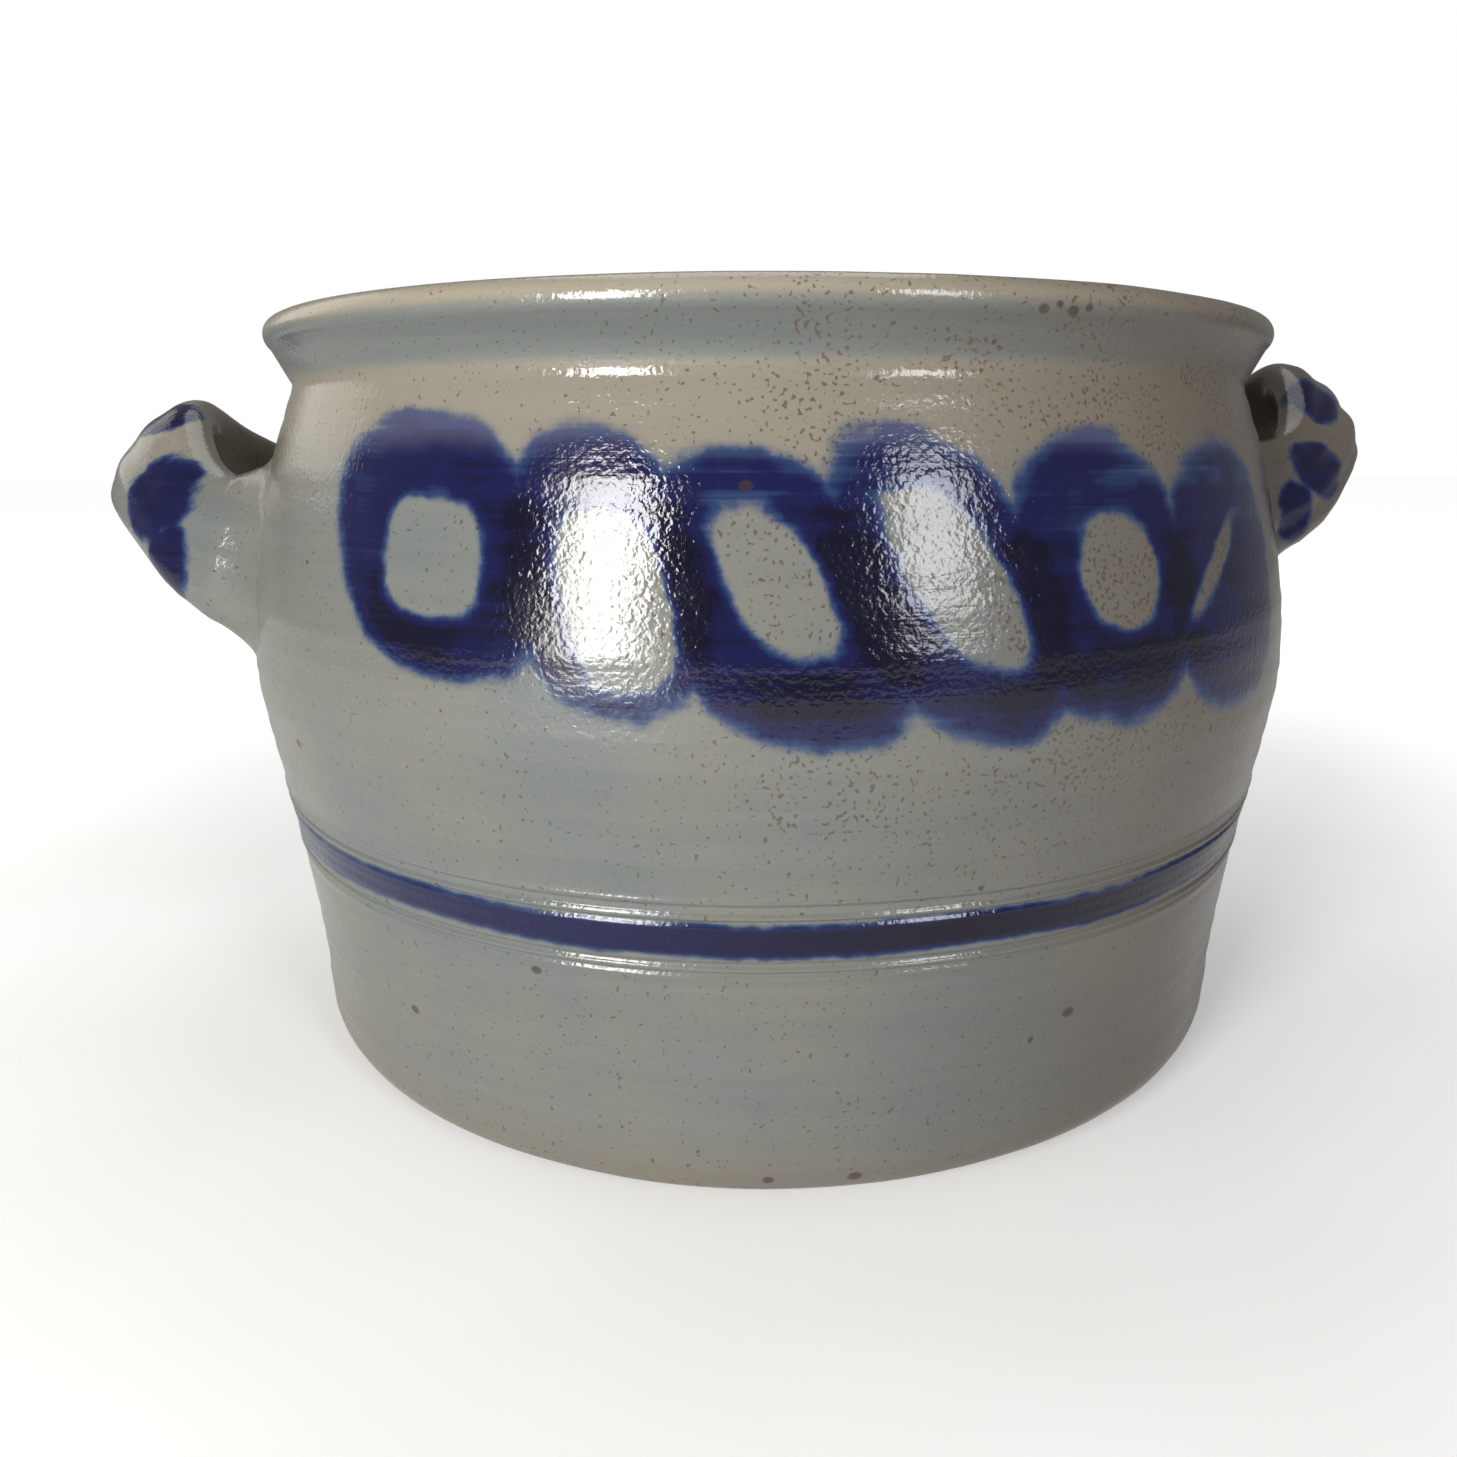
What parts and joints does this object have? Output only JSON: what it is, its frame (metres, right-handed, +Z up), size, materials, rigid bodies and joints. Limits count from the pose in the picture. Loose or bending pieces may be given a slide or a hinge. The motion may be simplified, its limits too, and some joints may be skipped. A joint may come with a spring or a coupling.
{
  "type": "stoneware fermenting crock",
  "caption": "Open salt-glazed stoneware crock with a flared lip, ear-shaped strap handles, brushed blue loops and a blue band, and loose half-moon weights inside.",
  "frame": {"origin": "centre of the foot, on the surface that the crock stands on", "axes": "+Z up along the axis of the crock, +X through the right handle, -Y through the middle of the painted front"},
  "size_m": [0.35, 0.2734, 0.181],
  "materials": {
    "salt_glaze": "glossy orange-peel salt glaze with brushed cobalt",
    "handle_glaze": "glossy orange-peel salt glaze with cobalt dabs",
    "bare_stoneware": "unglazed, smooth, matt"
  },
  "bodies": {
    "crock": {"crock": "salt_glaze", "left_handle": "handle_glaze", "right_handle": "handle_glaze"},
    "front_weight": {"front_weight": "bare_stoneware"},
    "back_weight": {"back_weight": "bare_stoneware"}
  },
  "joints": [
    {"name": "front_weight_lift", "type": "slide", "parent": "crock", "child": "front_weight", "axis": [0, 0, 1], "range_m": [0, 0.2]},
    {"name": "back_weight_lift", "type": "slide", "parent": "crock", "child": "back_weight", "axis": [0, 0, 1], "range_m": [0, 0.2]}
  ]
}
